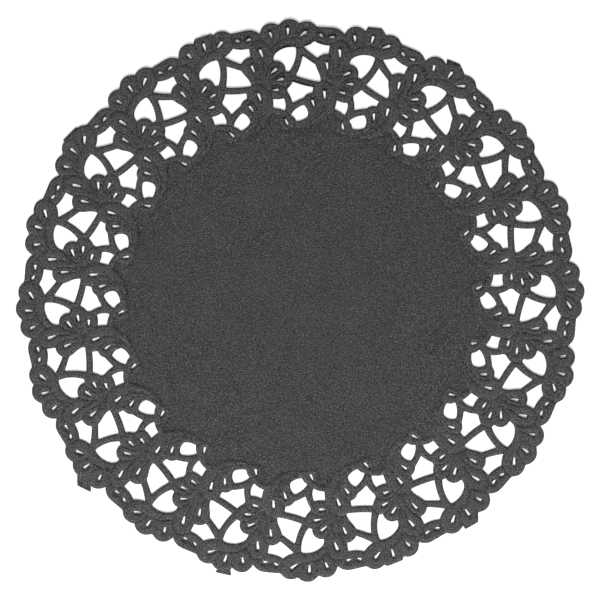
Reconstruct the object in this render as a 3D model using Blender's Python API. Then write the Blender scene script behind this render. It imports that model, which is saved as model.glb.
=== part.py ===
"""A round paper doily, die-cut into lace round a plain middle and lying flat.

The lace is one motif set round the middle twenty times.  The motif is charted in
millimetres: `across` runs clockwise round the doily as seen from above, and `out`
runs away from its middle.  A place on the chart is the complex number across + i out,
so turning and stretching it are products.  The origin of the part lies on the surface
under it, below the middle of its outline, with +Z up.
"""
import cmath
import math
from collections import namedtuple

import bpy

MM = 0.001                      # the chart's unit, in metres

REPEATS = 20                    # motifs round the doily
THICKNESS = 1.0                 # the sheet over its embossing
STRAY = 0.15                    # the most that a straight edge leaves its arc

# The sheet is a little uneven: drawn out along one line, with the motifs crowded
# towards one side.  Bearings are degrees clockwise from +Y.
STRETCH = 0.0022
STRETCH_BEARING = 85.0
CROWDING = 0.34                 # degrees
CROWDING_BEARING = 159.0

PAPER_COLOUR = (0.062, 0.062, 0.062, 1.0)
PAPER_ROUGHNESS = 0.85

# One corner of an edge: where it is, how far the side to the next corner stands out to
# the left of a straight line, and how far back from the corner it starts to be rounded.
Corner = namedtuple("Corner", "at bulge round")

# The outer edge of one motif, clockwise: three loops and the link to the next motif.
OUTER_EDGE = [
    Corner(-13.88 + 95.65j, 0.24, 0.35),
    Corner(-12.45 + 98.72j, 0.87, 0.80),
    Corner(-7.25 + 99.04j, 0.00, 0.40),
    Corner(-5.60 + 100.65j, 1.13, 0.60),
    Corner(0.28 + 99.78j, 0.68, 0.35),
    Corner(5.14 + 99.85j, 0.00, 0.60),
    Corner(6.60 + 98.37j, 0.00, 0.50),
    Corner(12.60 + 97.92j, 0.50, 1.00),
]

# The holes of one motif that are wider than 4 mm, each clockwise.
EGG = [
    Corner(-8.95 + 85.90j, 0.60, 0.30),
    Corner(-7.42 + 89.50j, 0.73, 0.80),
    Corner(-0.90 + 90.98j, 0.03, 0.60),
    Corner(-0.92 + 88.40j, 0.44, 0.80),
    Corner(-3.46 + 82.04j, -0.05, 0.35),
    Corner(-4.75 + 82.30j, -1.48, 0.25),
]
SAIL = [
    Corner(1.40 + 87.92j, 0.00, 0.60),
    Corner(6.05 + 84.60j, -0.08, 0.40),
    Corner(6.85 + 82.20j, 0.30, 0.40),
    Corner(7.75 + 78.18j, 0.21, 0.70),
    Corner(-1.14 + 80.60j, -0.32, 0.35),
]
KITE = [
    Corner(1.65 + 91.25j, -0.33, 0.50),
    Corner(5.62 + 93.20j, -0.42, 0.25),
    Corner(11.20 + 91.46j, -0.08, 0.45),
    Corner(10.66 + 88.28j, -0.63, 0.30),
    Corner(6.74 + 86.86j, 0.13, 0.40),
]
SHIELD = [
    Corner(-2.20 + 78.50j, -0.22, 0.40),
    Corner(5.20 + 76.42j, 0.00, 0.40),
    Corner(4.75 + 74.30j, -0.53, 0.30),
    Corner(1.75 + 72.62j, -0.13, 0.40),
    Corner(-2.30 + 70.62j, -0.22, 0.50),
    Corner(-4.12 + 74.85j, 0.05, 0.40),
    Corner(-4.00 + 76.08j, -0.21, 0.30),
]
WINDOW = [
    Corner(-9.32 + 72.28j, -0.30, 0.25),
    Corner(-5.36 + 72.56j, 0.46, 0.35),
    Corner(-5.09 + 67.84j, -0.29, 0.35),
    Corner(-9.10 + 68.88j, -0.08, 0.35),
]
DROP = [
    Corner(1.58 + 70.08j, 0.74, 0.35),
    Corner(3.07 + 65.76j, 0.36, 0.50),
    Corner(-1.00 + 64.14j, -0.33, 0.35),
    Corner(-3.02 + 66.32j, 0.54, 0.35),
]
HOLES = [EGG, SAIL, KITE, SHIELD, WINDOW, DROP]

# Scraps that the die left on the rim: the motif, counted clockwise from +Y, and four
# corners clockwise, from where the scrap leaves the loops to where it meets them again.
Scrap = namedtuple("Scrap", "motif leave near far meet")
SCRAPS = [
    Scrap(1, -6.8 + 99.3j, -6.8 + 100.7j, -2.0 + 101.7j, 0.0 + 100.1j),
    Scrap(2, -7.0 + 99.2j, -8.05 + 100.8j, -3.4 + 102.0j, 0.0 + 100.1j),
    Scrap(8, -6.8 + 99.2j, -5.0 + 101.85j, 0.2 + 101.3j, 0.2 + 100.1j),
    Scrap(9, -6.8 + 99.5j, -6.4 + 100.2j, -0.7 + 100.6j, 0.0 + 100.1j),
    Scrap(11, -6.8 + 100.1j, -7.7 + 101.85j, -2.0 + 102.4j, -2.5 + 101.3j),
    Scrap(13, -10.4 + 99.7j, -12.2 + 101.0j, -7.5 + 103.5j, -4.65 + 101.5j),
    Scrap(17, -2.9 + 101.3j, -2.9 + 102.0j, 3.6 + 101.0j, 3.6 + 100.4j),
    Scrap(19, -6.8 + 99.9j, -6.1 + 100.6j, 0.0 + 100.6j, 0.4 + 100.2j),
]


def turned(at, motif):
    """A place on the chart turned clockwise to its motif."""
    return at * cmath.exp(-2j * math.pi * motif / REPEATS)


def uneven(at):
    """The place a point of the even doily has in the real one."""
    bearing = math.atan2(at.real, at.imag)
    crowding = math.radians(CROWDING) * math.cos(bearing - math.radians(CROWDING_BEARING))
    along = cmath.exp(2j * math.radians(90 - STRETCH_BEARING))
    at *= cmath.exp(-1j * crowding)
    return at + STRETCH * along * at.conjugate()


def side(start, end, bulge, setback, next_setback):
    """Points of an arc, without its set back ends: its chord is swung as it grows."""
    chord = end - start
    half_turn = 2 * math.atan(2 * bulge / abs(chord))
    steps = max(1, math.ceil(math.sqrt(abs(bulge) / STRAY)))
    first = setback / abs(chord)
    last = 1 - next_setback / abs(chord)
    points = []
    for step in range(steps + 1):
        share = first + (last - first) * step / steps
        growth = math.sin(half_turn * share) / math.sin(half_turn) if bulge else share
        points.append(start + chord * growth * cmath.exp(1j * half_turn * (1 - share)))
    return points


def rounding(start, corner, end):
    """Points between the ends of a rounded corner, on a parabola that the corner pulls."""
    depth = abs(corner - (start + end) / 2) / 2
    steps = max(1, math.ceil(math.sqrt(depth / STRAY)))
    shares = [step / steps for step in range(1, steps)]
    return [start * (1 - s) ** 2 + 2 * corner * s * (1 - s) + end * s ** 2 for s in shares]


def edge(corners):
    """The points of a closed edge through its rounded corners."""
    following = corners[1:] + corners[:1]
    sides = [side(a.at, b.at, a.bulge, a.round, b.round) for a, b in zip(corners, following)]
    points = []
    for here, corner, after in zip(sides, following, sides[1:] + sides[:1]):
        points += here + rounding(here[-1], corner.at, after[0])
    return points


def outer_edge():
    """The rim of the doily, clockwise, with the scraps in place of the loops under them."""
    points = edge([
        corner._replace(at=turned(corner.at, motif))
        for motif in range(REPEATS) for corner in OUTER_EDGE
    ])
    for scrap in SCRAPS:
        corners = [turned(at, scrap.motif) for at in scrap[1:]]
        first, last = (
            min(range(len(points)), key=lambda index: abs(points[index] - end))
            for end in (corners[0], corners[-1])
        )
        points[first:last + 1] = corners
    return points


def paper():
    """Dull black paper."""
    material = bpy.data.materials.new("black paper")
    material.use_nodes = True
    shader = material.node_tree.nodes["Principled BSDF"]
    shader.inputs["Base Color"].default_value = PAPER_COLOUR
    shader.inputs["Roughness"].default_value = PAPER_ROUGHNESS
    shader.inputs["Metallic"].default_value = 0.0
    return material


def sheet(name, edges):
    """A flat sheet lying at z = 0, with the first edge as its rim and holes at the rest."""
    curve = bpy.data.curves.new(name, "CURVE")
    curve.dimensions = "2D"
    curve.fill_mode = "BOTH"
    curve.extrude = THICKNESS / 2 * MM
    rim = edges[0]
    middle = complex(
        (min(at.real for at in rim) + max(at.real for at in rim)) / 2,
        (min(at.imag for at in rim) + max(at.imag for at in rim)) / 2,
    )
    for points in edges:
        spline = curve.splines.new("POLY")
        spline.points.add(len(points) - 1)
        for point, at in zip(spline.points, points):
            at = (at - middle) * MM
            point.co = (at.real, at.imag, 0.0, 1.0)
        spline.use_cyclic_u = True
    curve.materials.append(paper())
    body = bpy.data.objects.new(name, curve)
    body.location.z = THICKNESS / 2 * MM
    return body


for leftover in list(bpy.data.objects):
    bpy.data.objects.remove(leftover)

holes = [
    [turned(at, motif) for at in edge(hole)]
    for motif in range(REPEATS) for hole in HOLES
]
doily = sheet("doily", [[uneven(at) for at in points] for points in [outer_edge()] + holes])
collection = bpy.data.collections.new("paper lace doily")
bpy.context.scene.collection.children.link(collection)
collection.objects.link(doily)
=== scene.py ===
"""The looks of a round black paper doily, die-cut and embossed to look like tape lace.

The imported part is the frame: one flat sheet, which the embossed sheet made here takes the
place of.  The lace is charted as in the part's source, in millimetres, as one motif that
goes round the middle twenty times: `across` runs clockwise as seen from above and `out`
runs away from the middle.  A place on the chart is the complex number across + i out, so
turning it is a product, and an array of them is a line of places.
"""
from collections import namedtuple

import bpy
import numpy as np
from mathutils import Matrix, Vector
from mathutils.geometry import delaunay_2d_cdt


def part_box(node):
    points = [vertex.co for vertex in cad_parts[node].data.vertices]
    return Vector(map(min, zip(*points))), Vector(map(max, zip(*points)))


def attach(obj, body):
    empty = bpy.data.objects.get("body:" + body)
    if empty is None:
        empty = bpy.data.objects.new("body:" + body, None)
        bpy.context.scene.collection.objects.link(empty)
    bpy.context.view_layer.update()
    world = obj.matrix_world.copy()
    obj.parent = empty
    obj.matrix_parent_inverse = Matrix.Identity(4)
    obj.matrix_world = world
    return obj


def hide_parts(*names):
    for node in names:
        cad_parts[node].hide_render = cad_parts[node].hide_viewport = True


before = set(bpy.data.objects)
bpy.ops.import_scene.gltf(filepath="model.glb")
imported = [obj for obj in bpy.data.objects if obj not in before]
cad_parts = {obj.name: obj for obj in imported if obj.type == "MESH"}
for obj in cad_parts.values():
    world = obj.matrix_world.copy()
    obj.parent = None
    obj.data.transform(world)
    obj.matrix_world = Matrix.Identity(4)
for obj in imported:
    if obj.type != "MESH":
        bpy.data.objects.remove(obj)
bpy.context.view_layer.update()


# ---------------------------------------------------------------- the cut of the sheet
# The die cuts the sheet out of thin dyed paper: a rim of loops, six wide holes in each
# motif and thirteen small slits, one in each loop and petal of the lace.  The rim and the
# wide holes are those of the solid; the slits are cut here only.

REPEATS = 20                    # motifs round the doily
LACE_END = 102.5                # beyond the rim
CUT_STEP = 0.72                 # the most between two points of a cut edge

# The sheet is a little uneven: drawn out along one line, with the motifs crowded
# towards one side, and its rim pushed in at the top.  Bearings are degrees clockwise
# from +Y.
STRETCH = 0.0038
STRETCH_BEARING = 93.0
CROWDING = 0.34                 # degrees
CROWDING_BEARING = 159.0
DENT = 0.60
DENT_BEARING = -1.0
DENT_SPREAD = 9.0
DENT_START = 60.0               # the distance from the middle where it begins

# One corner of an edge: where it is, how far the side to the next corner stands out to
# the left of a straight line, and how far back from the corner it starts to be rounded.
Corner = namedtuple("Corner", "at bulge round")

# The outer edge of one motif, clockwise: three loops and the link to the next motif.
OUTER_EDGE = [
    Corner(-13.88 + 95.65j, 0.24, 0.35),
    Corner(-12.45 + 98.72j, 0.87, 0.80),
    Corner(-7.25 + 99.04j, 0.00, 0.40),
    Corner(-5.60 + 100.65j, 1.13, 0.60),
    Corner(0.28 + 99.78j, 0.68, 0.35),
    Corner(5.14 + 99.85j, 0.00, 0.60),
    Corner(6.60 + 98.37j, 0.00, 0.50),
    Corner(12.60 + 97.92j, 0.50, 1.00),
]

# The wide holes of one motif, each clockwise.
EGG = [
    Corner(-8.95 + 85.90j, 0.60, 0.30),
    Corner(-7.42 + 89.50j, 0.73, 0.80),
    Corner(-0.90 + 90.98j, 0.03, 0.60),
    Corner(-0.92 + 88.40j, 0.44, 0.80),
    Corner(-3.46 + 82.04j, -0.05, 0.35),
    Corner(-4.75 + 82.30j, -1.48, 0.25),
]
SAIL = [
    Corner(1.40 + 87.92j, 0.00, 0.60),
    Corner(6.05 + 84.60j, -0.08, 0.40),
    Corner(6.85 + 82.20j, 0.30, 0.40),
    Corner(7.75 + 78.18j, 0.21, 0.70),
    Corner(-1.14 + 80.60j, -0.32, 0.35),
]
KITE = [
    Corner(1.65 + 91.25j, -0.33, 0.50),
    Corner(5.62 + 93.20j, -0.42, 0.25),
    Corner(11.20 + 91.46j, -0.08, 0.45),
    Corner(10.66 + 88.28j, -0.63, 0.30),
    Corner(6.74 + 86.86j, 0.13, 0.40),
]
SHIELD = [
    Corner(-2.20 + 78.50j, -0.22, 0.40),
    Corner(5.20 + 76.42j, 0.00, 0.40),
    Corner(4.75 + 74.30j, -0.53, 0.30),
    Corner(1.75 + 72.62j, -0.13, 0.40),
    Corner(-2.30 + 70.62j, -0.22, 0.50),
    Corner(-4.12 + 74.85j, 0.05, 0.40),
    Corner(-4.00 + 76.08j, -0.21, 0.30),
]
WINDOW = [
    Corner(-9.32 + 72.28j, -0.30, 0.25),
    Corner(-5.36 + 72.56j, 0.46, 0.35),
    Corner(-5.09 + 67.84j, -0.29, 0.35),
    Corner(-9.10 + 68.88j, -0.08, 0.35),
]
DROP = [
    Corner(1.58 + 70.08j, 0.74, 0.35),
    Corner(3.07 + 65.76j, 0.36, 0.50),
    Corner(-1.00 + 64.14j, -0.33, 0.35),
    Corner(-3.02 + 66.32j, 0.54, 0.35),
]
HOLES = [EGG, SAIL, KITE, SHIELD, WINDOW, DROP]

# The slits of one motif, each a drop: the middle and radius of its wide end, then of its
# narrow end.
Slit = namedtuple("Slit", "wide wide_radius narrow narrow_radius")
SLITS = [
    Slit(-10.22 + 95.98j, 0.49, -9.55 + 94.60j, 0.28),      # the loops of the rim
    Slit(-3.82 + 97.70j, 0.52, -3.85 + 95.60j, 0.26),
    Slit(2.48 + 96.42j, 0.53, 0.60 + 95.15j, 0.26),
    Slit(7.88 + 95.35j, 0.52, 8.62 + 94.88j, 0.32),         # the link
    Slit(12.28 + 94.42j, 0.52, 11.15 + 94.42j, 0.27),
    Slit(-13.74 + 89.55j, 0.55, -12.85 + 87.40j, 0.28),     # the upper petals
    Slit(-16.72 + 83.82j, 0.47, -15.85 + 81.88j, 0.25),
    Slit(-8.12 + 82.88j, 0.48, -9.78 + 81.56j, 0.26),
    Slit(-5.85 + 79.35j, 0.49, -7.60 + 78.97j, 0.25),
    Slit(-7.55 + 75.42j, 0.49, -9.12 + 75.36j, 0.26),
    Slit(-14.42 + 73.70j, 0.51, -13.63 + 71.70j, 0.29),     # the lower petals
    Slit(-17.50 + 69.32j, 0.47, -16.40 + 67.80j, 0.23),
    Slit(-4.12 + 63.20j, 0.46, -4.88 + 64.72j, 0.23),
]

# Scraps that the die left on the rim: the motif, counted clockwise from +Y, and four
# corners clockwise, from where the scrap leaves the loops to where it meets them again.
Scrap = namedtuple("Scrap", "motif leave near far meet")
SCRAP_BOW = 0.05                # how far its sides stand out
SCRAPS = [
    Scrap(1, -6.8 + 99.3j, -6.8 + 100.7j, -2.0 + 101.7j, 0.0 + 100.1j),
    Scrap(2, -7.0 + 99.2j, -8.05 + 100.8j, -3.4 + 102.0j, 0.0 + 100.1j),
    Scrap(8, -6.8 + 99.2j, -5.0 + 101.85j, 0.2 + 101.3j, 0.2 + 100.1j),
    Scrap(9, -6.8 + 99.5j, -6.4 + 100.2j, -0.7 + 100.6j, 0.0 + 100.1j),
    Scrap(11, -6.8 + 100.1j, -7.7 + 101.85j, -2.0 + 102.4j, -2.5 + 101.3j),
    Scrap(13, -10.4 + 99.7j, -12.2 + 101.0j, -7.5 + 103.5j, -4.65 + 101.5j),
    Scrap(17, -2.9 + 101.3j, -2.9 + 102.0j, 3.6 + 101.0j, 3.6 + 100.4j),
    Scrap(19, -6.8 + 99.9j, -6.1 + 100.6j, 0.0 + 100.6j, 0.4 + 100.2j),
]


def turned(at, motif):
    """Places on the chart turned clockwise to their motif: a product with a unit number."""
    return at * np.exp(-2j * np.pi * motif / REPEATS)


def uneven(at):
    """The places that points of the even doily have in the real one.

    Each is turned by an angle that goes with the cosine of its bearing from the crowded
    side, and then moved by a share of its own mirror image in the line of the stretch.
    """
    bearing = np.arctan2(at.real, at.imag)
    crowding = np.radians(CROWDING) * np.cos(bearing - np.radians(CROWDING_BEARING))
    at = at * np.exp(-1j * crowding)
    return at + STRETCH * np.exp(2j * np.radians(90 - STRETCH_BEARING)) * at.conjugate()


def at_dent(at):
    """How much places share in the dent: a bell curve of the bearing."""
    return np.exp(-((np.angle(at / 1j, deg=True) + DENT_BEARING) / DENT_SPREAD) ** 2)


def dent(at):
    """How far places are pushed inwards: at the dent, as the square of the distance from
    where it begins."""
    share = np.clip((abs(at) - DENT_START) / (LACE_END - DENT_START), 0, None) ** 2
    return DENT * at_dent(at) * share * at / np.maximum(abs(at), DENT_START)


def side(start, end, bulge, setback, next_setback):
    """Points of an arc without its set back ends: its chord is swung as it grows."""
    chord = end - start
    half_turn = 2 * np.arctan(2 * bulge / abs(chord))
    first, last = setback / abs(chord), 1 - next_setback / abs(chord)
    count = max(2, int(np.ceil(abs(chord) * (last - first) / CUT_STEP)) + 1)
    share = np.linspace(first, last, count)
    growth = np.sin(half_turn * share) / np.sin(half_turn) if bulge else share
    return start + chord * growth * np.exp(1j * half_turn * (1 - share))


def rounding(start, corner, end):
    """Two points between the ends of a rounded corner, on a parabola that it pulls."""
    share = np.array([1 / 3, 2 / 3])
    return start * (1 - share) ** 2 + 2 * corner * share * (1 - share) + end * share ** 2


def edge(corners):
    """The points of a closed edge through its rounded corners."""
    following = corners[1:] + corners[:1]
    sides = [side(a.at, b.at, a.bulge, a.round, b.round) for a, b in zip(corners, following)]
    parts = []
    for here, corner, after in zip(sides, following, sides[1:] + sides[:1]):
        parts += [here, rounding(here[-1], corner.at, after[0])]
    return np.concatenate(parts)


def slit_edge(slit, count=12):
    """The edge of a drop, clockwise: each point stands off the nearer end by its radius."""
    along = (slit.wide - slit.narrow) / abs(slit.wide - slit.narrow)
    around = np.exp(-2j * np.pi * (np.arange(count) + 0.5) / count)
    by_wide = around.real > 0
    middle = np.where(by_wide, slit.wide, slit.narrow)
    return middle + np.where(by_wide, slit.wide_radius, slit.narrow_radius) * along * around


def line(corners, step):
    """Points along a broken line, a step apart or a little less."""
    corners = np.array(corners)
    reach = np.concatenate([[0.0], np.cumsum(abs(np.diff(corners)))])
    places = np.linspace(0.0, reach[-1], int(np.ceil(reach[-1] / step)) + 1)
    return np.interp(places, reach, corners)


def with_scraps(rim):
    """The rim, clockwise, with the scraps in place of the loops under them."""
    for scrap in SCRAPS:
        corners = turned(np.array(scrap[1:]), scrap.motif)
        first, last = (np.argmin(abs(rim - end)) for end in (corners[0], corners[-1]))
        sides = [side(a, b, SCRAP_BOW, 0, 0)[:-1] for a, b in zip(corners, corners[1:])]
        rim = np.concatenate([rim[:first], *sides, rim[last:]])
    return rim


# Every edge has the paper on its left, so the rim is turned round.
even_rim = edge([
    corner._replace(at=turned(corner.at, motif))
    for motif in range(REPEATS) for corner in OUTER_EDGE
])
motif_edges = [edge(hole) for hole in HOLES] + [slit_edge(slit) for slit in SLITS]
rim = with_scraps(even_rim)[::-1]
edges = [rim] + [turned(at, motif) for motif in range(REPEATS) for at in motif_edges]


# ---------------------------------------------------------- the embossing of the sheet
# A pair of warmed dies presses the paper: tapes and petals stand up as pillows with their
# edges turned down, grooves part them, and the plain middle lies lower.  The paper is thin,
# so its back has the same relief in reverse.

EDGE_HEIGHT = 0.28              # the top of the paper over the table, at a cut edge,
CROWN_HEIGHT = 0.84             # along the middle of a tape,
PLAIN_HEIGHT = 0.50             # and in the plain middle
PILLOW = 0.82                   # from a cut edge to where the paper is level
GROOVE_DEPTH = 0.41
GROOVE_SHADE_WIDTH = 0.29             # of the painted shade along its bottom
GROOVE_SHADE = 0.20            # how dark the painted shade in a groove is, as a share,
EDGE_SHADE = 0.50              # along a cut edge,
EDGE_SHADE_WIDTH = 0.24
SLIT_SHADE = 0.50              # and on the outer side of a slit, which its punch turns down
SLIT_SHADE_WIDTH = 0.42
TOP_SHADE = 0.50                     # how much darker the painted shade is at the top, and lighter at the bottom
DENT_SHADE = 1.40              # and how dark the painted shade is at the dent, outside a cut edge
DENT_SHADE_WIDTH = 0.68
DENT_SHADE_START, DENT_SHADE_FULL = 68.0, 78.0  # from the middle, where that painted shade begins along edges and where it is full
SLIT_DENT_SHADE_WIDTH = 1.00
SLIT_DENT_SHADE_SHARE = 0.15          # at slits that painted shade reaches further round: a power of the share at other edges
PLAIN_STEP = 0.40               # the width of the edge of the plain middle
BEND = 61.3                     # the ring, from the middle, where it bends down to the lace,
BEND_DEPTH = 0.22               # how far it sinks there,
BEND_WIDTH = 1.2                # and from how far inside
DULL = 0.60                     # how like the plain middle the paper looks far from a cut edge,
DULL_START, DULL_FULL = 0.77, 2.97  # and from where to where it comes to look so
PAPER = 0.25                    # thickness
SKIRT = 0.32                    # from a cut edge to the first row of points inside it
ROW_CLEAR = 0.75 * SKIRT        # the least from a cut edge to the points of rows,
GROUND_CLEAR = 1.8 * SKIRT      # to the other points,
RIM_CLEAR = 0.7 * SKIRT         # and from the rim with its scraps to any point
ROW_ROOM = 0.23                 # the least between points of rows,
GROUND_ROOM = 0.44              # and from them to the other points
GROUND_STEP = 0.84              # between the points of the lace, away from lines,
GROOVE_STEP = 0.68              # along a groove,
FLANK = 0.30                    # from a groove to the rows of points beside it,
MIDDLE_STEP = 3.0               # and between the points of the plain middle
LACE_START = 59.6               # the ring, from the middle, where the points of the lace begin
RIM_ZONE = 96.0                 # the points further out may be near a scrap
RIM_SPAN = 40                   # degrees of the rim that one motif's points are measured from

# The grooves of one motif: how deep each is pressed, as a share, how far the paper slopes
# down to it from its left and its right, places along it, and how many times darker than
# others of its depth its painted shade is.
Groove = namedtuple("Groove", "depth left right places darker", defaults=[1.0])
GROOVES = [
    # The loops and the link, with the band under them.
    Groove(1.0, 0.9, 1.5, [
        -17.25 + 90.9j, -16.8 + 92.0j, -15.55 + 93.1j, -14.0 + 93.5j, -12.65 + 93.2j,
        -11.4 + 92.3j, -10.35 + 91.0j, -9.95 + 89.9j, -9.75 + 88.7j]),
    Groove(1.0, 1.1, 0.9, [
        0.3 + 94.9j, -0.6 + 94.8j, -2.5 + 94.5j, -4.5 + 94.1j, -6.5 + 93.35j, -8.0 + 92.3j,
        -9.1 + 91.3j, -9.9 + 90.5j]),
    Groove(0.6, 0.7, 0.9, [
        -7.2 + 98.9j, -6.75 + 97.6j, -6.5 + 96.0j, -6.5 + 95.0j, -6.55 + 94.2j]),
    Groove(0.8, 0.6, 1.3, [0.3 + 99.5j, 0.0 + 98.5j, -0.7 + 97.3j, -1.4 + 96.0j, -1.9 + 95.1j]),
    Groove(0.7, 0.6, 1.0, [-13.75 + 95.6j, -13.55 + 94.8j, -13.4 + 93.8j]),
    Groove(0.9, 0.5, 1.3, [
        6.5 + 98.2j, 6.65 + 97.2j, 6.5 + 96.2j, 6.3 + 95.2j, 6.05 + 94.3j, 5.7 + 93.4j]),
    Groove(1.0, 0.5, 0.5, [
        8.1 + 96.4j, 8.8 + 95.75j, 9.5 + 95.15j, 10.3 + 94.95j, 11.1 + 95.3j, 12.1 + 95.6j,
        13.1 + 95.4j, 13.35 + 94.7j]),
    Groove(0.7, 0.6, 0.6, [-9.4 + 94.4j, -9.15 + 93.4j, -9.05 + 92.5j]),
    # The upper petals and the tails that run in from their slits.
    Groove(0.8, 0.6, 0.6, [-0.8 + 91.0j, 0.1 + 90.85j, 0.9 + 90.85j, 1.6 + 91.2j]),
    Groove(1.0, 0.7, 0.7, [
        -12.95 + 87.2j, -12.7 + 86.0j, -12.6 + 84.8j, -12.45 + 83.6j, -12.2 + 82.2j]),
    Groove(1.0, 0.7, 0.9, [
        -17.0 + 87.35j, -16.4 + 86.8j, -15.9 + 86.1j, -15.2 + 85.1j, -14.6 + 84.0j,
        -14.25 + 83.0j, -14.05 + 82.0j, -13.9 + 80.5j, -13.85 + 79.2j]),
    Groove(1.0, 0.9, 0.6, [
        -9.2 + 85.7j, -9.75 + 85.1j, -10.35 + 84.3j, -10.85 + 83.4j, -11.25 + 82.4j,
        -11.55 + 81.4j, -11.75 + 80.3j]),
    Groove(0.6, 0.5, 0.5, [-9.8 + 81.6j, -10.3 + 81.0j, -10.8 + 80.4j, -11.1 + 79.7j]),
    Groove(0.9, 0.9, 0.5, [
        -4.8 + 82.2j, -6.0 + 81.85j, -7.2 + 81.3j, -8.3 + 80.45j, -9.0 + 79.7j, -9.7 + 78.9j]),
    Groove(0.5, 0.5, 0.5, [-8.0 + 79.1j, -8.5 + 78.8j, -9.1 + 78.25j, -9.8 + 77.7j]),
    Groove(0.8, 0.5, 1.0, [
        -3.5 + 81.95j, -2.75 + 81.3j, -2.4 + 80.5j, -2.3 + 79.7j, -2.2 + 78.7j]),
    Groove(0.9, 1.0, 0.5, [
        -4.05 + 75.95j, -4.8 + 76.35j, -5.5 + 76.8j, -6.4 + 77.3j, -7.4 + 77.65j,
        -8.6 + 77.6j, -9.8 + 77.2j]),
    Groove(0.8, 0.6, 0.6, [
        -15.85 + 81.6j, -15.5 + 81.0j, -15.3 + 80.0j, -15.25 + 79.0j, -15.25 + 78.0j]),
    # The lower petals and their tails.
    Groove(1.0, 1.2, 1.4, [
        -16.9 + 77.3j, -15.7 + 77.55j, -14.3 + 77.6j, -12.8 + 77.1j, -11.5 + 76.2j,
        -10.4 + 75.1j, -9.8 + 73.9j, -9.4 + 72.6j]),
    Groove(0.75, 0.8, 0.8, [
        -18.1 + 72.05j, -17.3 + 71.75j, -16.35 + 71.0j, -15.65 + 70.2j, -15.15 + 69.0j,
        -14.95 + 68.0j, -14.9 + 67.0j, -15.05 + 65.9j, -15.4 + 64.8j, -16.0 + 63.7j]),
    Groove(0.85, 1.7, 0.7, [
        -13.55 + 71.3j, -13.25 + 70.3j, -13.1 + 69.3j, -13.1 + 68.2j, -13.3 + 66.8j,
        -13.7 + 65.5j, -14.25 + 64.2j, -15.1 + 62.9j, -16.2 + 61.8j, -17.3 + 60.95j,
        -18.4 + 60.2j, -19.4 + 59.75j]),
    Groove(0.5, 0.5, 0.5, [-16.35 + 67.3j, -16.35 + 66.4j, -16.5 + 65.4j, -16.8 + 64.4j]),
    Groove(0.6, 0.4, 1.0, [-1.15 + 64.0j, -1.5 + 63.1j, -1.95 + 62.2j, -2.6 + 61.6j]),
    # The edge of the plain middle, in three strokes.
    Groove(1.0, 0.4, 1.3, [
        -9.85 + 67.0j, -10.4 + 65.7j, -11.1 + 64.4j, -11.9 + 63.3j, -12.8 + 62.2j,
        -13.7 + 61.35j, -15.0 + 60.3j, -16.4 + 59.45j], 1.4),
    Groove(1.0, 1.0, 0.4, [
        -9.7 + 67.05j, -8.9 + 67.05j, -7.9 + 66.65j, -7.0 + 66.2j, -6.0 + 65.65j,
        -5.2 + 65.0j], 1.4),
    Groove(0.9, 0.4, 0.9, [
        3.26 + 61.75j, 1.05 + 61.5j, -1.0 + 61.5j, -2.5 + 61.35j, -4.0 + 61.1j,
        -5.2 + 61.0j, -6.4 + 60.9j], 1.4),
    # The ends of the brides that part the wide holes.
    Groove(0.6, 0.5, 0.5, [6.5 + 86.9j, 6.25 + 86.2j, 6.3 + 85.4j, 6.5 + 84.8j]),
    Groove(0.5, 0.5, 0.5, [-18.9 + 76.2j, -18.85 + 75.5j, -18.75 + 74.6j]),
    Groove(0.7, 0.5, 0.5, [-5.3 + 72.7j, -4.9 + 73.4j, -4.5 + 74.0j, -4.15 + 74.7j]),
    Groove(0.7, 0.5, 0.5, [-5.05 + 67.9j, -4.4 + 67.4j, -3.7 + 67.05j, -3.1 + 66.5j]),
    Groove(0.5, 0.5, 0.5, [1.9 + 72.5j, 1.8 + 71.4j, 1.65 + 70.3j]),
]

# The scalloped edge of the plain middle, from one motif to the next.
PLAIN_EDGE = np.array([
    -16.4 + 59.45j, -13.7 + 61.35j, -12.8 + 62.2j, -11.9 + 63.3j, -11.1 + 64.4j,
    -10.4 + 65.7j, -9.85 + 67.0j, -8.9 + 67.05j, -7.9 + 66.65j, -7.0 + 66.0j, -6.5 + 64.8j,
    -6.25 + 63.2j, -6.0 + 61.0j, -4.0 + 61.1j, -2.5 + 61.35j, -1.0 + 61.5j, 1.05 + 61.5j,
    2.8 + 61.7j,
])


def curve(places, step):
    """Points along a smooth curve through the places, a step apart.

    Each stretch is a cubic whose slope at a place is half the chord between the places
    before and after it.
    """
    places = np.array(places)
    slope = np.gradient(places)
    share = np.arange(0, 1, 0.1)[:, None]
    start, end, leave, meet = places[:-1], places[1:], slope[:-1], slope[1:]
    dense = (
        start * (1 + 2 * share) * (1 - share) ** 2 + leave * share * (1 - share) ** 2
        + end * share ** 2 * (3 - 2 * share) - meet * share ** 2 * (1 - share)
    )
    return line(np.append(dense.T.ravel(), places[-1]), step)


def beside(points):
    """The same points of one motif in the motif before it, itself and the one after it."""
    return np.concatenate([turned(points, motif) for motif in (-1, 0, 1)])


def chords(lines, closed):
    """The starts and ends of the short straight pieces that lines are made of."""
    starts = [at if closed else at[:-1] for at in lines]
    ends = [np.roll(at, -1) if closed else at[1:] for at in lines]
    return np.concatenate(starts), np.concatenate(ends)


def steps_off(points, starts, ends):
    """The step to every point from every chord: from the nearest place along the chord."""
    chord = ends - starts
    apart = points[:, None] - starts
    share = np.clip((apart * chord.conjugate()).real / abs(chord) ** 2, 0, 1)
    return apart - share * chord


def gap(points, starts, ends):
    """How far each point is from the nearest chord."""
    return abs(steps_off(points, starts, ends)).min(axis=1)


def in_paper(points, starts, ends):
    """Whether each point is in paper: a ray outwards from it crosses an odd number of chords."""
    low, high = starts - points[:, None], ends - points[:, None]
    crosses = (low.real > 0) != (high.real > 0)
    width = np.where(crosses, high.real - low.real, 1.0)
    beyond = low.imag - low.real * (high.imag - low.imag) / width > 0
    return np.sum(crosses & beyond, axis=1) % 2 == 1


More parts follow.
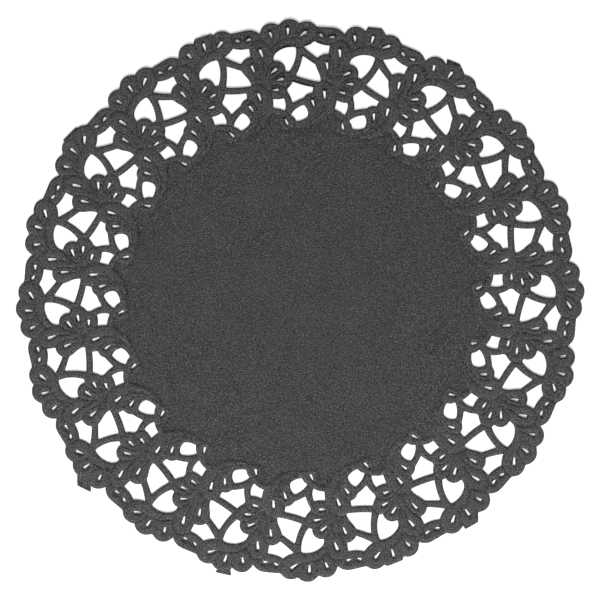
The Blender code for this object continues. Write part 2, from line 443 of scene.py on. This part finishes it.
def thinned(points, room):
    """The points that have no earlier one nearer than the room, in any motif."""
    near = abs(points[:, None] - beside(points)) < room
    order = np.arange(len(points))
    return points[~np.any(near & (np.tile(order, 3) < order[:, None]), axis=1)]


def inwards(points):
    """Points a skirt's width into the paper from an edge, along its left hand normals."""
    way = np.roll(points, -1) - np.roll(points, 1)
    return points + 1j * SKIRT * way / abs(way)


def flanks(points):
    """Points beside a groove on both sides of it, along its normals."""
    way = np.gradient(points)
    off = 1j * FLANK * way / abs(way)
    return np.concatenate([points + off, points - off])


def rings(start, end, step):
    """Points in rings round the middle, for one motif: radius and bearing in even steps."""
    parts = []
    for row, radius in enumerate(np.arange(start, end, step * np.sqrt(3) / 2)):
        count = max(1, round(2 * np.pi * radius / REPEATS / step))
        bearing = 2 * np.pi / REPEATS * ((np.arange(count) + 0.5 * (row % 2)) / count - 0.5)
        parts.append(1j * radius * np.exp(-1j * bearing))
    return np.concatenate(parts)


def within(points, degrees):
    """Whether the bearing of each point is within some degrees of +Y."""
    return abs(np.angle(points / 1j, deg=True)) < degrees


# The cut edges near one motif: its own, its neighbours' and the rim, as yet without scraps.
near_rim = np.roll(even_rim[::-1], len(even_rim) // 2)
near_rim = near_rim[within(near_rim, RIM_SPAN)]     # on each side of it
near_holes = [turned(at, motif) for motif in (-1, 0, 1) for at in motif_edges]
cut_starts, cut_ends = (
    np.concatenate(pair)
    for pair in zip(chords(near_holes, True), chords([near_rim], False))
)
of_slit = np.concatenate(
    [np.full(len(at), number >= len(HOLES)) for number, at in enumerate(motif_edges)] * 3
    + [np.full(len(near_rim) - 1, False)]
)
beds = [curve(groove.places, GROOVE_STEP) for groove in GROOVES]
near_beds = [turned(at, motif) for motif in (-1, 0, 1) for at in beds]
groove_starts, groove_ends = chords(near_beds, False)
groove_depths, left_widths, right_widths, bed_shades = np.concatenate([
    np.tile([*groove[:3], GROOVE_SHADE * groove.depth * groove.darker], (len(at) - 1, 1))
    for groove, at in zip(GROOVES, beds)
] * 3).T


def relief(points):
    """Height of the top of the paper at points of one motif, and what shows in its colour:
    its painted shade, how plain it is, and the painted shade the dent brings outside an edge and
    a slit.

    The paper rises from a cut edge as half of a parabola to its crown, and sinks to each
    groove in the same way, over the width it has on that side.  Within its scalloped edge
    the middle is level, but sinks in the same way to the ring where it bends.  The painted
    shade is bell curves of the distance to a groove, to a cut edge, and to a slit, the last
    times the cosine of the turn from straight outside it; so is the painted shade of the dent.
    The paper looks plain in the middle, and partly so where it is far from a cut edge.
    """
    off_cuts = steps_off(points, cut_starts, cut_ends)
    nearest = abs(off_cuts).argmin(axis=1)
    by_slit = of_slit[nearest]
    off_cut = off_cuts[np.arange(len(points)), nearest]
    cut = abs(off_cut)
    beyond = np.clip(off_cut.imag / np.maximum(cut, 0.01), 0, 1)
    off_grooves = steps_off(points, groove_starts, groove_ends)
    on_left = (off_grooves * (groove_ends - groove_starts).conjugate()).imag > 0
    width = np.where(on_left, left_widths, right_widths)
    groove = (groove_depths * np.clip(1 - abs(off_grooves) / width, 0, 1) ** 2).max(axis=1)
    bed_shade = (bed_shades * np.exp(-(abs(off_grooves) / GROOVE_SHADE_WIDTH) ** 2)).max(axis=1)
    rise = 1 - (1 - np.clip(cut / PILLOW, 0, 1)) ** 2
    plain_from = np.interp(
        np.angle(points / 1j), np.angle(PLAIN_EDGE / 1j)[::-1], abs(PLAIN_EDGE)[::-1],
        period=2 * np.pi / REPEATS,
    )
    plain = np.clip((plain_from - abs(points)) / PLAIN_STEP + 0.5, 0, 1)
    height = EDGE_HEIGHT + (CROWN_HEIGHT - EDGE_HEIGHT - GROOVE_DEPTH * groove) * rise
    bend = BEND_DEPTH * np.clip(1 - (BEND - abs(points)) / BEND_WIDTH, 0, 1) ** 2
    height += (PLAIN_HEIGHT - bend - height) * plain
    plain = np.maximum(plain, np.interp(cut, [DULL_START, DULL_FULL], [0, DULL]))
    # Painted shade: darker along the bottom of each groove, along cut edges and on the outer
    # side of slits.
    painted_shade = np.maximum.reduce([
        bed_shade,
        EDGE_SHADE * np.exp(-(cut / EDGE_SHADE_WIDTH) ** 2),
        SLIT_SHADE * beyond * by_slit * np.exp(-(cut / SLIT_SHADE_WIDTH) ** 2),
    ])
    # Painted shade on the outer side of cut edges and slits, used at the dent; the sheet is not
    # curled there.
    edge_dent_shade = beyond * ~by_slit * np.exp(-(cut / DENT_SHADE_WIDTH) ** 2)
    edge_dent_shade *= np.interp(abs(points), [DENT_SHADE_START, DENT_SHADE_FULL], [0, 1])
    slit_dent_shade = beyond * by_slit * np.exp(-(cut / SLIT_DENT_SHADE_WIDTH) ** 2)
    return np.stack([height, painted_shade, plain, edge_dent_shade, slit_dent_shade])


def clear(points, room):
    """The points that are in paper and further than the room from any cut edge."""
    points = points[gap(points, cut_starts, cut_ends) > room]
    return points[in_paper(points, cut_starts, cut_ends)]


# The points of one motif inside its edges: a row along each groove, a row inside each cut
# edge, a row on each side of a groove, and rings between them that keep clear of all.
skirts = [inwards(at) for at in motif_edges]
rim_skirt = inwards(near_rim)[within(near_rim, 180 / REPEATS)]
rows = np.concatenate(beds + skirts + [rim_skirt] + [flanks(at) for at in beds])
rows = thinned(clear(rows, ROW_CLEAR), ROW_ROOM)
ground = clear(rings(LACE_START, LACE_END, GROUND_STEP), GROUND_CLEAR)
ground = ground[abs(ground[:, None] - beside(rows)).min(axis=1) > GROUND_ROOM]
middle = rings(MIDDLE_STEP, LACE_START, MIDDLE_STEP)

inner = np.concatenate([rows, ground, middle])
motif_cuts = np.concatenate(motif_edges)
every_motif = np.arange(REPEATS)[:, None]
cuts = turned(motif_cuts, every_motif).ravel()
inside = turned(inner, every_motif).ravel()

# Where a scrap has taken a bite out of a loop, the points in the bite go.
rim_chords = chords([rim], True)
by_rim = np.flatnonzero(abs(inside) > RIM_ZONE)
in_bite = (
    (gap(inside[by_rim], *rim_chords) < RIM_CLEAR)
    | ~in_paper(inside[by_rim], *rim_chords)
)
stays = np.full(len(inside), True)
stays[by_rim[in_bite]] = False

places = np.concatenate([rim, cuts, inside[stays]])
at_rim = np.stack([np.full(len(rim), value) for value in (EDGE_HEIGHT, EDGE_SHADE, 0, 0, 0)])
height, painted_shade, plain, edge_dent_shade, slit_dent_shade = np.concatenate([
    at_rim, np.tile(relief(motif_cuts), REPEATS),
    np.tile(relief(inner), REPEATS)[:, stays],
], axis=1)

# The painted shade is darker towards the top and lighter towards the bottom, and at the dent
# a cut edge with paper on its outer side gets painted shade there, further round at slits.
painted_shade *= 1 + TOP_SHADE * np.cos(np.angle(places / 1j))
share = at_dent(places)
painted_shade = np.maximum.reduce([
    painted_shade, DENT_SHADE * share * edge_dent_shade, DENT_SHADE * share ** SLIT_DENT_SHADE_SHARE * slit_dent_shade,
])
edge_of = np.concatenate([np.full(len(at), number) for number, at in enumerate(edges)])
edge_of = np.append(edge_of, np.full(len(places) - len(edge_of), -1))

# The next point along its edge, for every point of an edge.
firsts = np.cumsum([0] + [len(at) for at in edges[:-1]])
along = np.concatenate([
    first + np.roll(np.arange(len(at)), -1) for first, at in zip(firsts, edges)
])
borders = np.stack([np.arange(len(along)), along], axis=1)

# Triangles over the paper, the holes and the hollows of the rim, with borders as sides.
SAME_PLACE = 1e-7               # points nearer than this would be one
found = delaunay_2d_cdt(
    np.stack([places.real, places.imag], axis=1), borders.tolist(), [], 0, SAME_PLACE, False
)
triangles = np.array(found[2])


def turn(triangles):
    """Twice the area of each triangle, above 0 where its corners run anticlockwise."""
    a, b, c = places[triangles].T
    return ((b - a).conjugate() * (c - a)).imag


# A triangle with its corners on one edge is on the side with no paper where they run
# clockwise in the order they have along the edge.
on_one = (np.ptp(edge_of[triangles], axis=1) == 0) & (edge_of[triangles[:, 0]] >= 0)
no_paper = on_one & (turn(np.sort(triangles, axis=1)) < 0)
triangles = triangles[~no_paper]
triangles = np.where(turn(triangles)[:, None] < 0, triangles[:, ::-1], triangles)


SWAY = 0.07                     # the height of the waves in which the sheet lies
SHARP_FROM = 60                 # degrees between two faces that meet in a sharp edge


def sway(places):
    """How high the sheet stands off the table: three long waves and seven short ones go
    round it, and grow as the square of the distance from the middle."""
    share = (abs(places) / LACE_END) ** 2
    bearing = np.angle(places)
    waves = 2 + np.cos(3 * bearing + 0.7) + 0.6 * np.cos(7 * bearing + 2.1)
    return SWAY * share * waves


# The chart is laid over the solid: its millimetres are the solid's, from rim to rim.
low, high = (Vector(corner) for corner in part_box("doily"))
even = uneven(places)
outline = even[:len(rim)]
chart_low = complex(outline.real.min(), outline.imag.min())
chart_high = complex(outline.real.max(), outline.imag.max())
MM = (high.x - low.x) / (chart_high - chart_low).real
solid_middle = complex(low.x + high.x, low.y + high.y) / 2
chart_middle = solid_middle - MM * (chart_low + chart_high) / 2
flat = chart_middle + MM * (even - dent(even))
top = low.z + MM * (height + sway(places))
vertices = np.concatenate([
    np.stack([flat.real, flat.imag, top], axis=1),
    np.stack([flat.real, flat.imag, top - MM * PAPER], axis=1),
])
under = len(places)
faces = np.concatenate([
    triangles,
    triangles[:, ::-1] + under,
    np.stack([borders[:, 0], borders[:, 0] + under, borders[:, 1]], axis=1),
    np.stack([borders[:, 1], borders[:, 0] + under, borders[:, 1] + under], axis=1),
])
mesh = bpy.data.meshes.new("embossed_sheet")
mesh.from_pydata(vertices.tolist(), [], faces.tolist())
# The painted shade reaches the colour of the paper through an attribute of its own.
for name, values in (("painted_shade", painted_shade), ("plain", plain)):
    attribute = mesh.attributes.new(name, "FLOAT", "POINT")
    attribute.data.foreach_set("value", np.tile(values, 2).astype(np.float32))
mesh.shade_smooth()
mesh.set_sharp_from_angle(angle=np.radians(SHARP_FROM))
sheet = bpy.data.objects.new("embossed_sheet", mesh)
bpy.context.scene.collection.objects.link(sheet)

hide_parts("doily")
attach(sheet, "root")
turn(triangles).sum() / 2 * MM ** 2


# ----------------------------------------------------------------------- the black paper
# Thin paper dyed black in the pulp: dull, with short fibres that catch the light.  The
# middle is embossed like linen, with threads both ways; painted shade darkens the paper in
# its grooves, along its cut edges and at the dent.

THREAD_PITCH = 0.79             # millimetres from thread to thread of the linen embossing
THREAD_DEPTH = 0.10             # millimetres
LINEN_SLANT = 0.04              # how far its rows rise for each millimetre to the right
LACE_LINEN = 0.4                # how much of it is left in the lace
THREAD_WANDER = 3.0             # radians
FIBRE, MOTTLE, SLUB, CLOUD = 0.45, 1.8, 3.0, 14.0   # millimetres, the width of its patches
SHADED_PAPER = (0.004, 0.004, 0.004, 1.0)
LIT_PAPER = (0.130, 0.130, 0.130, 1.0)
TONE = 0.30                     # how light the paper is, from painted shade to lit,
LACE_TONE = 0.12                # how much lighter it is in the lace,
SHADE_TONE = 0.45              # and how much darker under full painted shade
LINEN_TONE = 0.02
FIBRE_TONE = 1.3
SPECK_TONE = 3.6
SPECK_FROM = 0.60               # the fibres that catch the light are those over this
PATCH_TONE = 0.10
LACE_ROUGH = 0.40               # how much more the fibres show in the lace
LINEN_RELIEF, FIBRE_RELIEF = 0.26, 1.1
ROUGHNESS = 0.82
GLOSS = 0.08


class Wire:
    """A socket of a shader's nodes: sums and products of wires and numbers add nodes."""

    def __init__(self, tree, socket=None):
        self.tree, self.socket = tree, socket

    def node(self, kind, settings=(), sockets=(), result=0):
        """Adds a node: its settings are set first, then its sockets' values or links."""
        added = self.tree.nodes.new(kind)
        for name, value in dict(settings).items():
            setattr(added, name, value)
        for name, value in dict(sockets).items():
            if isinstance(value, Wire):
                self.tree.links.new(value.socket, added.inputs[name])
            else:
                added.inputs[name].default_value = value
        return Wire(self.tree, added.outputs[result])

    def maths(self, operation, *values):
        return self.node("ShaderNodeMath", {"operation": operation}, enumerate(values))

    def __add__(self, other):
        return self.maths("ADD", self, other)

    def __radd__(self, other):
        return self.maths("ADD", other, self)

    def __sub__(self, other):
        return self.maths("SUBTRACT", self, other)

    def __rsub__(self, other):
        return self.maths("SUBTRACT", other, self)

    def __mul__(self, other):
        return self.maths("MULTIPLY", self, other)

    def __rmul__(self, other):
        return self.maths("MULTIPLY", other, self)

    def sine(self):
        return self.maths("SINE", self)


def black_paper():
    """Dull black paper, with its fibres, its linen embossing and its painted shade."""
    material = bpy.data.materials.new("black_paper")
    material.use_nodes = True
    tree = material.node_tree
    shader = tree.nodes["Principled BSDF"]
    shader.inputs["Specular IOR Level"].default_value = GLOSS
    wire = Wire(tree)
    place = wire.node("ShaderNodeTexCoord", result="Object")
    x, y = (
        wire.node("ShaderNodeSeparateXYZ", sockets={0: place}, result=axis)
        for axis in ("X", "Y")
    )
    painted_shade_fac, plain = (
        wire.node("ShaderNodeAttribute", {"attribute_name": name}, result="Fac")
        for name in ("painted_shade", "plain")
    )

    def noise(scale, detail):
        """Uneven patches as wide as the scale, in millimetres: 0 to 1, mostly near 0.5."""
        return wire.node(
            "ShaderNodeTexNoise", {"noise_dimensions": "3D"},
            {"Vector": place, "Scale": 1 / (scale * MM), "Detail": detail}, "Fac",
        )

    fibre, mottle = noise(FIBRE, 2.0), noise(MOTTLE, 1.0)
    slub, cloud = noise(SLUB, 1.0), noise(CLOUD, 2.0)
    turns = 2 * np.pi / (THREAD_PITCH * MM)
    weft = ((y - x * LINEN_SLANT) * turns + slub * THREAD_WANDER).sine()
    warp = ((x + y * LINEN_SLANT) * turns + slub * THREAD_WANDER).sine()
    linen = (LACE_LINEN + (1 - LACE_LINEN) * plain) * (0.7 * weft + 0.3 * warp)
    speck = wire.maths("MAXIMUM", fibre - SPECK_FROM, 0.0)
    rough = 1 + LACE_ROUGH - LACE_ROUGH * plain
    tone = TONE + LINEN_TONE * linen + rough * (FIBRE_TONE * (fibre - 0.5) + SPECK_TONE * speck)
    tone += PATCH_TONE * (mottle + cloud - 1.0)
    # The painted shade darkens the colour towards the shaded paper.
    colour = wire.node(
        "ShaderNodeMix", {"data_type": "RGBA"},
        {"Factor": tone + LACE_TONE * (1.0 - plain) - SHADE_TONE * painted_shade_fac,
         6: SHADED_PAPER, 7: LIT_PAPER}, 2,
    )
    bump = wire.node("ShaderNodeBump", (), {
        "Strength": 1.0, "Distance": THREAD_DEPTH * MM,
        "Height": LINEN_RELIEF * linen + FIBRE_RELIEF * fibre,
    })
    roughness = ROUGHNESS + 0.2 * (fibre - 0.5)
    for socket, value in (("Base Color", colour), ("Roughness", roughness), ("Normal", bump)):
        tree.links.new(value.socket, shader.inputs[socket])
    return material


sheet.data.materials.append(black_paper())


# ------------------------------------------------------- the table, the light, the camera
# The doily lies on a white table under soft white light, with a broad lamp low beyond its
# lower edge, so its relief is lit from there.  The camera looks straight down.

PHOTO_SIDE = 600                # pixels
PHOTO_MIDDLE = 300.13 + 299.73j     # the middle of the doily in the photo, down from its top
PHOTO_WIDTH = 569.3             # the doily, pixels
LENS = 0.085                    # metres
SENSOR = 0.036
TABLE_SIDE = 3.0                # metres, from its middle
WHITE = (0.93, 0.93, 0.93, 1.0)
SOFT_LIGHT = 0.70
LAMP_PLACE = (-0.07, -0.62, 0.50)   # metres
LAMP_SIDE = 0.25
LAMP_POWER = 6.9                # watts


def white_table():
    """A wide flat table top, matt white."""
    material = bpy.data.materials.new("white_table")
    material.use_nodes = True
    tree = material.node_tree
    shader = tree.nodes["Principled BSDF"]
    shader.inputs["Roughness"].default_value = 0.9
    shader.inputs["Specular IOR Level"].default_value = 0.1
    shader.inputs["Base Color"].default_value = WHITE
    corners = [(-1, -1), (1, -1), (1, 1), (-1, 1)]
    mesh = bpy.data.meshes.new("table")
    mesh.from_pydata(
        [(x * TABLE_SIDE, y * TABLE_SIDE, low.z) for x, y in corners], [], [(0, 1, 2, 3)]
    )
    mesh.materials.append(material)
    return bpy.data.objects.new("table", mesh)


table = white_table()
bpy.context.scene.collection.objects.link(table)

world = bpy.data.worlds.new("soft_light")
bpy.context.scene.world = world
world.use_nodes = True
world.node_tree.nodes["Background"].inputs["Color"].default_value = (1.0, 1.0, 1.0, 1.0)
world.node_tree.nodes["Background"].inputs["Strength"].default_value = SOFT_LIGHT


def lamp(name, place, aim, side, power):
    """A square lamp that faces a place."""
    light = bpy.data.lights.new(name, "AREA")
    light.shape = "SQUARE"
    light.size = side
    light.energy = power
    lamp = bpy.data.objects.new(name, light)
    lamp.location = place
    lamp.rotation_euler = (Vector(aim) - Vector(place)).to_track_quat("-Z", "Y").to_euler()
    bpy.context.scene.collection.objects.link(lamp)
    return lamp


lamp("front_lamp", LAMP_PLACE, (0.0, 0.0, 0.0), LAMP_SIDE, LAMP_POWER)

view_width = (high.x - low.x) * PHOTO_SIDE / PHOTO_WIDTH
pixel = view_width / PHOTO_SIDE
off = ((1 + 1j) * PHOTO_SIDE / 2 - PHOTO_MIDDLE).conjugate() * pixel
camera = bpy.data.objects.new("camera", bpy.data.cameras.new("camera"))
camera.data.sensor_width = 1000 * SENSOR
camera.data.lens = 1000 * LENS
aim = chart_middle + off
camera.location = (aim.real, aim.imag, high.z + view_width * LENS / SENSOR)
bpy.context.scene.collection.objects.link(camera)
bpy.context.scene.camera = camera
bpy.context.scene.view_settings.view_transform = "Standard"
